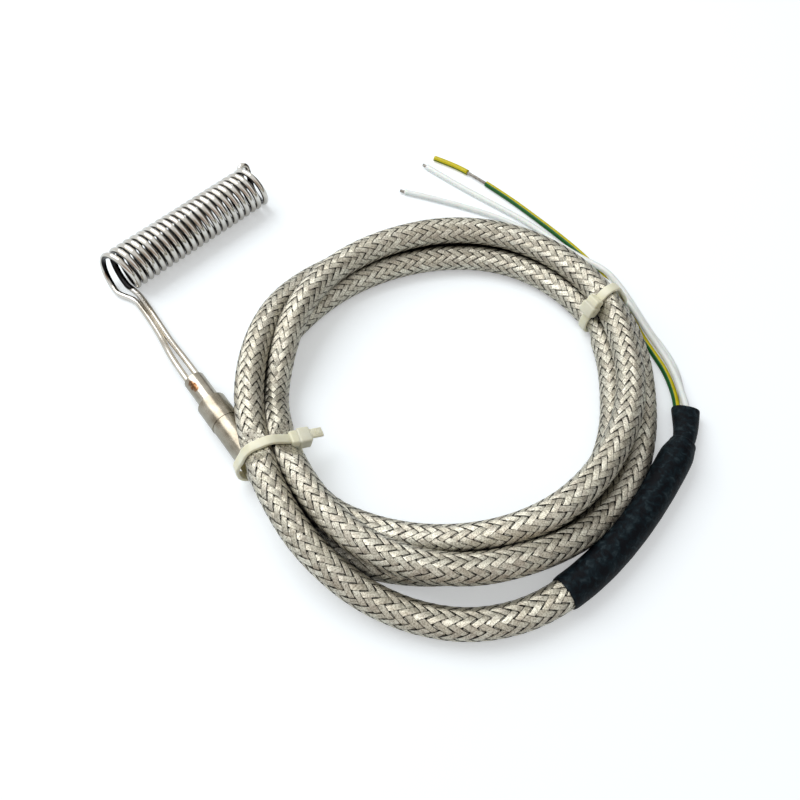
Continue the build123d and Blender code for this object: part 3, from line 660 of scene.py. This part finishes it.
def braid_pieces():
    """The braid's bundles, in parts from the sleeve to the lead's end."""
    line = even(lead_line, FRAME_STEP * MM)
    have = lengths(line)
    total = have[-1] / MM
    count = int(total / BRAID_STEP)
    s = np.linspace(0, total, count + 1)
    centre = at_lengths(line, s * MM)
    side, up = (
        np.stack([np.interp(s * MM, have, row[:, k]) for k in range(3)], -1) for row in moving_frame(line)
    )
    swell = THIN_END + (1 - THIN_END) * np.clip(s / THIN_LENGTH, 0, 1) ** THIN_POWER
    cuts = [round(count * k / BRAID_PARTS) for k in range(BRAID_PARTS + 1)]
    pieces = []
    for part in range(BRAID_PARTS):
        k = np.arange(cuts[part], cuts[part + 1] + 1)
        rows = len(k)
        verts, uv, tint, faces = [], [], [], []
        for way in (1, -1):
            for bundle in range(BUNDLES):
                shift = rng.uniform(-BUNDLE_SHIFT, BUNDLE_SHIFT)
                wide = BUNDLE_WIDTH * rng.uniform(*BUNDLE_SPREAD)
                bright = rng.random()
                theta = way * 2 * math.pi * s[k] / LAY + 2 * math.pi * (bundle + shift) / BUNDLES
                phase = np.cos(2 * math.pi * (theta * BUNDLES / math.pi - 0.5) / OVER_AND_UNDER)
                lift = way * WAVE * np.clip(WAVE_FLATNESS * phase, -1, 1)
                base = len(verts) * rows
                for q in BUNDLE_POINTS:
                    reach = q * wide
                    th = theta - way * reach * math.cos(LAY_ANGLE) / BRAID_R
                    shifted = np.clip(s[k] + reach * math.sin(LAY_ANGLE), 0, total)
                    c = np.stack([np.interp(shifted, s, centre[:, m]) for m in range(3)], -1)
                    r = (BRAID_R * swell[k] + lift + CROWN * (1 - (2 * q) ** 2)) * MM
                    outward = side[k] * np.cos(th)[:, None] + up[k] * np.sin(th)[:, None]
                    verts.append(c + outward * r[:, None])
                    uv.append(np.stack([np.full(rows, q + 0.5), s[k]], -1))
                    tint.append(np.full(rows, bright))
                for m in range(len(BUNDLE_POINTS) - 1):
                    for n in range(rows - 1):
                        p = base + m * rows + n
                        q = p + rows
                        faces.append((p, p + 1, q + 1, q) if way > 0 else (p, q, q + 1, p + 1))
        pieces.append(new_piece(
            f"braid_{part + 1}", pressed(np.concatenate(verts)), faces, braid_mat, "braid_metal",
            np.concatenate(uv), np.concatenate(tint),
        ))
    return pieces


braids = braid_pieces()
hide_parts("braid_loops", "braid_run")


# Shrink tubes. They swell and sink a little in three lobes, by these angles from row to row.
LOBES = 3
LOBE_TURN = 0.31
SWELL_TURN = 0.47


def skin(name, rows, swelling, around=36):
    """A hollow tube from rows of centre, half width and height, direction and squareness."""
    verts, uv = [], []
    for k, (place, (wide, high), way, power) in enumerate(rows):
        t = np.array(way) / np.linalg.norm(way)
        up = UP - t * t[2]
        up /= np.linalg.norm(up)
        side = np.cross(up, t)
        for n in range(around):
            a = 2 * math.pi * n / around
            c, sn = math.cos(a), math.sin(a)
            x = math.copysign(abs(c) ** power, c) * wide
            y = math.copysign(abs(sn) ** power, sn) * high
            bulge = 1 + swelling * math.sin(LOBES * a + k * LOBE_TURN) * math.sin(k * SWELL_TURN)
            verts.append(place + (side * x + up * y) * bulge * MM)
            uv.append((n / around, float(k)))
    faces = grid_faces(len(rows), around, ring=True)
    return new_piece(
        name, verts, faces, shrink_mat, "black_shrink", uv,
        modifier="SUBSURF", levels=1, render_levels=1,
    )


# The wide one goes over the lead's end, with a rounded shoulder down to its neck. The shoulder's outside and
# the neck's inside are distances past the lead's end, with a radius for each.
SHRINK_LENGTH = 46.0
SHRINK_ROWS = 60
SHRINK_START_R = (4.05, 4.22)
SHRINK_R = 4.27
SHOULDER = (
    (1.0, 4.27), (2.2, 4.25), (3.2, 4.18), (4.0, 4.05),
    (4.8, 3.86), (5.6, 3.66), (6.4, 3.5), (7.3, 3.42),
)
NECK_INSIDE = ((7.3, 3.0), (5.6, 2.95), (4.0, 3.3), (2.2, 3.85), (0.0, 3.88))
SHRINK_INSIDE_R = 3.88
SHRINK_MOUTH_R = 3.86
lead_end = np.array(RUN[-1]) * MM
end_way = np.array(RUN[-1]) - np.array(RUN[-2])
end_way /= np.linalg.norm(end_way)
shrink_start = lead_length - SHRINK_LENGTH * MM
outside = at_lengths(lead_line, np.linspace(shrink_start, lead_length, SHRINK_ROWS))
outer_line = np.vstack([outside, [lead_end + end_way * d * MM for d, r in SHOULDER]])
outer_radius = list(SHRINK_START_R) + [SHRINK_R] * (SHRINK_ROWS - 2) + [r for d, r in SHOULDER]
ways = np.gradient(outer_line, axis=0)
rows = list(zip(outer_line, outer_radius, ways))
rows += [(lead_end + end_way * d * MM, r, ways[-1]) for d, r in NECK_INSIDE]
rows += [(outside[k], SHRINK_INSIDE_R, ways[k]) for k in range(SHRINK_ROWS - 1, 0, -6)]
rows.append((outside[0], SHRINK_MOUTH_R, ways[0]))
main_shrink = skin("main_shrink_tube", [(place, (r, r), way, 1.0) for place, r, way in rows], 0.006)
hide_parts("main_shrink")

# The narrow one is flattened at its mouth. Its rows hold a place, half width and height, heading in degrees
# and squareness.
NARROW = (
    ((62.6, -151.5, -2.5), (2.8, 2.8), 10.6, 1.0), ((66.5, -150.8, -2.5), (2.8, 2.8), 12.0, 1.0),
    ((69.8, -150.1, -2.5), (2.8, 2.8), 16.0, 1.0), ((72.6, -149.1, -3.0), (2.95, 2.7), 22.0, 0.97),
    ((75.4, -147.7, -3.7), (3.25, 2.45), 27.0, 0.93), ((78.0, -146.2, -4.3), (3.5, 2.3), 30.0, 0.88),
    ((79.9, -145.0, -4.5), (3.68, 2.25), 31.0, 0.84), ((80.3, -144.7, -4.5), (3.68, 2.22), 31.0, 0.84),
)
NARROW_WALL = 0.35
rows = []
for wall, stations in ((0.0, NARROW), (NARROW_WALL, NARROW[::-1])):
    for place, (wide, high), heading, power in stations:
        a = math.radians(heading)
        way = (math.cos(a), math.sin(a), 0)
        rows.append((np.array(place) * MM, (wide - wall, high - wall), way, power))
end_shrink = skin("end_shrink_tube", rows, 0.01)
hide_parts("end_shrink")

# Single wires: their routes, how far the cores reach into them and out of them, and the strands' sizes
EARTH = (
    (62.4, -150.6, -3.1), (69.8, -149.2, -3.1), (74.7, -146.3, -4.6), (79.4, -143.0, -5.45),
    (83.4, -139.9, -5.9), (88.0, -134.2, -5.9), (91.3, -127.6, -5.9), (93.9, -121.8, -5.9),
    (99.1, -113.8, -5.9), (102.4, -106.7, -5.9), (104.9, -100.3, -5.9), (107.6, -90.9, -5.9),
    (109.2, -80.0, -5.9), (110.4, -68.0, -5.9), (111.2, -58.0, -5.9), (111.3, -48.6, -5.9),
)
WHITE_1 = (
    (62.8, -152.4, -3.1), (70.2, -151.1, -3.1), (75.6, -147.9, -4.7), (80.3, -144.6, -5.55),
    (84.8, -141.2, -5.9), (90.4, -136.0, -5.9), (94.3, -129.3, -5.9), (96.6, -123.1, -5.9),
    (101.2, -114.4, -5.8), (103.9, -107.0, -4.4), (105.3, -100.2, -3.2), (105.6, -91.1, -5.1),
    (106.3, -81.0, -5.9), (106.8, -69.0, -5.9), (105.6, -56.5, -5.9), (104.2, -42.5, -5.9),
    (103.7, -29.0, -5.9),
)
WHITE_2 = (
    (62.6, -151.5, -1.45), (70.0, -150.1, -1.45), (75.3, -147.4, -2.95), (80.4, -144.9, -3.7),
    (84.2, -140.7, -3.9), (89.2, -135.1, -4.5), (92.9, -128.5, -4.8), (95.0, -122.4, -3.9),
    (99.5, -113.9, -3.8), (102.0, -106.7, -3.8), (103.1, -100.2, -5.1), (103.7, -91.3, -5.9),
    (104.2, -81.0, -5.9), (103.9, -71.0, -5.9), (102.0, -61.0, -5.9), (97.8, -49.5, -5.9),
    (93.5, -39.5, -5.9), (89.9, -32.0, -5.9),
)
EARTH_CORE = (
    (111.35, -52.6, -5.9), (111.3, -48.6, -5.9), (111.2, -40.8, -5.9), (110.4, -34.2, -5.9),
    (108.7, -27.9, -5.9),
)
WIRE_R = 0.9
WIRE_STEP = 0.8
SLUG_LENGTH = 13.0
SLUG_STEP = 0.5
CORE_HELD = 4.0
CORE_BARE = 1.6
CORE_ROWS = 12
CORE_STEP = 0.4
OUTER_STRANDS = 6
STRAND_R = 0.168
STRAND_OUT = 0.335
STRAND_LAY = 9.0
STRAND_SIDES = 8


def strands(name, line):
    """A stranded conductor: six strands twisted round a seventh."""
    side, up = upright_frame(line)
    s = lengths(line) / MM
    verts, faces, uv = [], [], []
    for strand in range(OUTER_STRANDS + 1):
        spin = 2 * math.pi * s / STRAND_LAY + strand * 2 * math.pi / OUTER_STRANDS
        out = STRAND_OUT * MM if strand < OUTER_STRANDS else 0.0
        base = len(verts)
        for k in range(len(line)):
            c = line[k] + (side[k] * math.cos(spin[k]) + up[k] * math.sin(spin[k])) * out
            for n in range(STRAND_SIDES):
                a = 2 * math.pi * n / STRAND_SIDES
                verts.append(c + (side[k] * math.cos(a) + up[k] * math.sin(a)) * STRAND_R * MM)
                uv.append((n / STRAND_SIDES, s[k]))
        faces += [tuple(i + base for i in f) for f in grid_faces(len(line), STRAND_SIDES)]
        faces.append(tuple(range(len(verts) - STRAND_SIDES, len(verts))))
    return new_piece(name, verts, faces, core_mat, "bare_conductor", uv)


earth_line = nurbs_line(EARTH)
earth_path = even(earth_line, WIRE_STEP * MM)
earth = tube("earth_wire_insulation", earth_path, WIRE_R * MM, earth_mat, "earth_insulation")
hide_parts("earth_wire")
core_line = nurbs_line(EARTH_CORE)
earth_strands = strands("earth_strands", even(core_line, CORE_STEP * MM))
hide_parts("earth_core")
slug_line = even(core_line, SLUG_STEP * MM)
slug_s = lengths(slug_line)
slug_line = slug_line[slug_s > slug_s[-1] - SLUG_LENGTH * MM]
slug = tube("earth_insulation_slug", slug_line, WIRE_R * MM, slug_mat, "earth_insulation")
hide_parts("earth_slug")
for name, route, core in (
    ("white_wire_1", WHITE_1, "line_core_1"), ("white_wire_2", WHITE_2, "line_core_2"),
):
    line = nurbs_line(route)
    path = even(line, WIRE_STEP * MM)
    wire = tube(name + "_insulation", path, WIRE_R * MM, white_mat, "white_insulation")
    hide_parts(name)
    wire_end = np.array(route[-1])
    tip_way = wire_end - np.array(route[-2])
    tip_way /= np.linalg.norm(tip_way)
    tip_line = [wire_end * MM + tip_way * d * MM for d in np.linspace(-CORE_HELD, CORE_BARE, CORE_ROWS)]
    tip = strands(core + "_strands", np.array(tip_line))
    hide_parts(core)

# Ties. The strap's section is given as depth and place across.
STRAP_SECTION = (
    (0.0, -1.1), (0.0, 1.1), (0.18, 1.3), (0.82, 1.3),
    (1.0, 1.1), (1.0, -1.1), (0.82, -1.3), (0.18, -1.3),
)
# The head is two boxes: each one's place along the strap, then its sizes along, out of and across it
HEAD_BOXES = ((-0.2, (5.2, 2.9, 3.9)), (0.9, (3.4, 3.5, 4.5)))
# The tail is a strip that leaves the head nearer the lead, with ridges across its inner side
HEAD_END = 2.8
TAIL_START = 0.6
TAIL_SECTION = (0.8, 2.5)
TAIL_INWARD = 1.1
RIDGE_SIZE = (0.22, 0.24, 1.9)
RIDGE_INWARD = 0.45
RIDGE_STEP = 0.5
FIRST_RIDGE = 2.6
PLAIN_END = 0.2


def box_piece(verts, faces, centre, axes, sizes):
    """Adds a box with its own axes to a list of vertices and faces."""
    base = len(verts)
    for x in (-0.5, 0.5):
        for y in (-0.5, 0.5):
            for z in (-0.5, 0.5):
                parts = zip(axes, (x, y, z), sizes)
                verts.append(centre + sum(axis * share * size for axis, share, size in parts))
    for f in ((0, 1, 3, 2), (4, 6, 7, 5), (0, 4, 5, 1), (2, 3, 7, 6), (0, 2, 6, 4), (1, 5, 7, 3)):
        faces.append(tuple(base + i for i in f))


def nylon_piece(name, verts, faces, edge, segments):
    """A piece of nylon from points in millimetres, with its edges rounded."""
    return new_piece(
        name, np.array(verts) * MM, faces, nylon_mat, "nylon",
        modifier="BEVEL", width=edge * MM, segments=segments,
    )


def tie(name, spec):
    """A tie's strap, its head and, where the strap's free end shows, its ridged tail."""
    radial, normal = tie_axes(spec)
    outline = rounded(spec["corners"], STRAP_CORNER)
    edge = np.roll(outline, -1, 0) - np.roll(outline, 1, 0)
    edge /= np.linalg.norm(edge, axis=1)[:, None]
    inward = np.stack([-edge[:, 1], edge[:, 0]], -1)
    inward *= np.sign(((outline.mean(0) - outline) * inward).sum(1))[:, None]
    verts = []
    for p, n in zip(outline, inward):
        for depth, across in STRAP_SECTION:
            q = p + n * depth
            verts.append(RING + radial * q[0] + UP * q[1] + normal * across)
    faces = grid_faces(len(outline), len(STRAP_SECTION), ring=True)
    strap = nylon_piece(name, verts, faces, 0.12, 2)
    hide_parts(spec["replaces"])

    a = math.radians(spec["head_angle"])
    along = radial * math.cos(a) + UP * math.sin(a)
    out = -radial * math.sin(a) + UP * math.cos(a)
    axes = (along, out, normal)
    centre = RING + radial * spec["head"][0] + UP * spec["head"][1]
    verts, faces = [], []
    for place, sizes in HEAD_BOXES:
        box_piece(verts, faces, centre + along * place, axes, sizes)
    nylon_piece(name + "_head", verts, faces, 0.55, 4)

    if spec["tail"]:
        end = HEAD_END + spec["tail"]
        middle = centre - out * TAIL_INWARD
        verts, faces = [], []
        strip = middle + along * (TAIL_START + end) / 2
        box_piece(verts, faces, strip, axes, (end - TAIL_START, *TAIL_SECTION))
        for place in np.arange(FIRST_RIDGE, end - PLAIN_END, RIDGE_STEP):
            box_piece(verts, faces, middle + along * place - out * RIDGE_INWARD, axes, RIDGE_SIZE)
        nylon_piece(name + "_tail", verts, faces, 0.1, 2)


tie("tie_1", TIE_1)
tie("tie_2", TIE_2)

# Floor: pale, lit up a little for the camera and for mirrors, and measured in metres
FLOOR_HALF = 4
FLOOR_GLOW = 0.37
MIRRORED_GLOW = 0.6
floor_mesh = bpy.data.meshes.new("floor")
corners = [(x * FLOOR_HALF, y * FLOOR_HALF, 0) for x, y in ((-1, -1), (1, -1), (1, 1), (-1, 1))]
floor_mesh.from_pydata(corners, [], [(0, 1, 2, 3)])
floor = bpy.data.objects.new("floor", floor_mesh)
floor.location = (0.04, -0.08, (FLOOR - FLOOR_GAP) * MM)
bpy.context.scene.collection.objects.link(floor)
floor_mat, tree, shader = material("floor_white")
set_in(shader, Roughness=0.9)
shader.inputs["Base Color"].default_value = (0.71, 0.765, 0.80, 1)
shader.inputs["Specular IOR Level"].default_value = 0.0
rays = add(tree, "ShaderNodeLightPath").outputs
mirrored = math_node(tree, "MAXIMUM", rays["Is Glossy Ray"], rays["Is Transmission Ray"])
mirrored = math_node(tree, "MULTIPLY", mirrored, MIRRORED_GLOW)
seen = math_node(tree, "MAXIMUM", rays["Is Camera Ray"], mirrored)
shader.inputs["Emission Color"].default_value = (1, 1, 1, 1)
tree.links.new(math_node(tree, "MULTIPLY", seen, FLOOR_GLOW), shader.inputs["Emission Strength"])
floor_mesh.materials.append(floor_mat)
floor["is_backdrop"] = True

# World: a pale room with a dark side and a brown side. Dull surfaces get less of its light than mirrors do.
ROOM_LIGHT = 0.62
DARK_SIDE = Vector((0.94, -0.34, -0.15)).normalized()
BROWN_SIDE = (-CAM_FLAT + Vector((0, 0, 0.22))).normalized()
world = bpy.data.worlds.new("studio")
bpy.context.scene.world = world
world.use_nodes = True
tree = world.node_tree
background = tree.nodes["Background"]
direction = add(tree, "ShaderNodeTexCoord").outputs["Generated"]


def toward(way, stops):
    """Colour of the room by how nearly a direction points this way."""
    return ramp(tree, vector_node(tree, "DOT_PRODUCT", direction, way), stops)


dark_side = toward(DARK_SIDE, [
    (0.0, (0.94, 0.95, 0.96)), (0.58, (0.90, 0.90, 0.87)), (0.67, (0.05, 0.036, 0.03)),
])
brown_side = toward(BROWN_SIDE, [(0.70, 1.0), (0.92, (0.50, 0.38, 0.31))])
rays = add(tree, "ShaderNodeLightPath").outputs
plain = math_node(tree, "MAXIMUM", rays["Is Camera Ray"], rays["Is Transmission Ray"])
shown = mix_colour(tree, plain, multiplied(tree, dark_side, brown_side), (1.0, 1.0, 1.0))
tree.links.new(shown, background.inputs["Color"])
seen = math_node(tree, "MAXIMUM", plain, rays["Is Glossy Ray"])
strength = math_node(tree, "MULTIPLY_ADD", seen, 1 - ROOM_LIGHT, ROOM_LIGHT)
tree.links.new(strength, background.inputs["Strength"])

# Key lamp: a soft square above the part, to its left and a little beyond it as the camera sees it, and
# measured in metres
KEY = (-CAM_RIGHT * 0.55 + CAM_FLAT * 0.35 + Vector((0, 0, 0.9))).normalized()
KEY_AIM = Vector((0.045, -0.085, 0))
KEY_AWAY = 0.7
lamp = bpy.data.lights.new("key", "AREA")
lamp.energy = 3.2
lamp.size = 0.55
holder = bpy.data.objects.new("key", lamp)
holder.location = KEY_AIM + KEY * KEY_AWAY
holder.rotation_mode = "QUATERNION"
holder.rotation_quaternion = (-KEY).to_track_quat("-Z", "Y")
bpy.context.scene.collection.objects.link(holder)
bpy.context.scene.view_settings.view_transform = "Standard"

low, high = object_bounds()
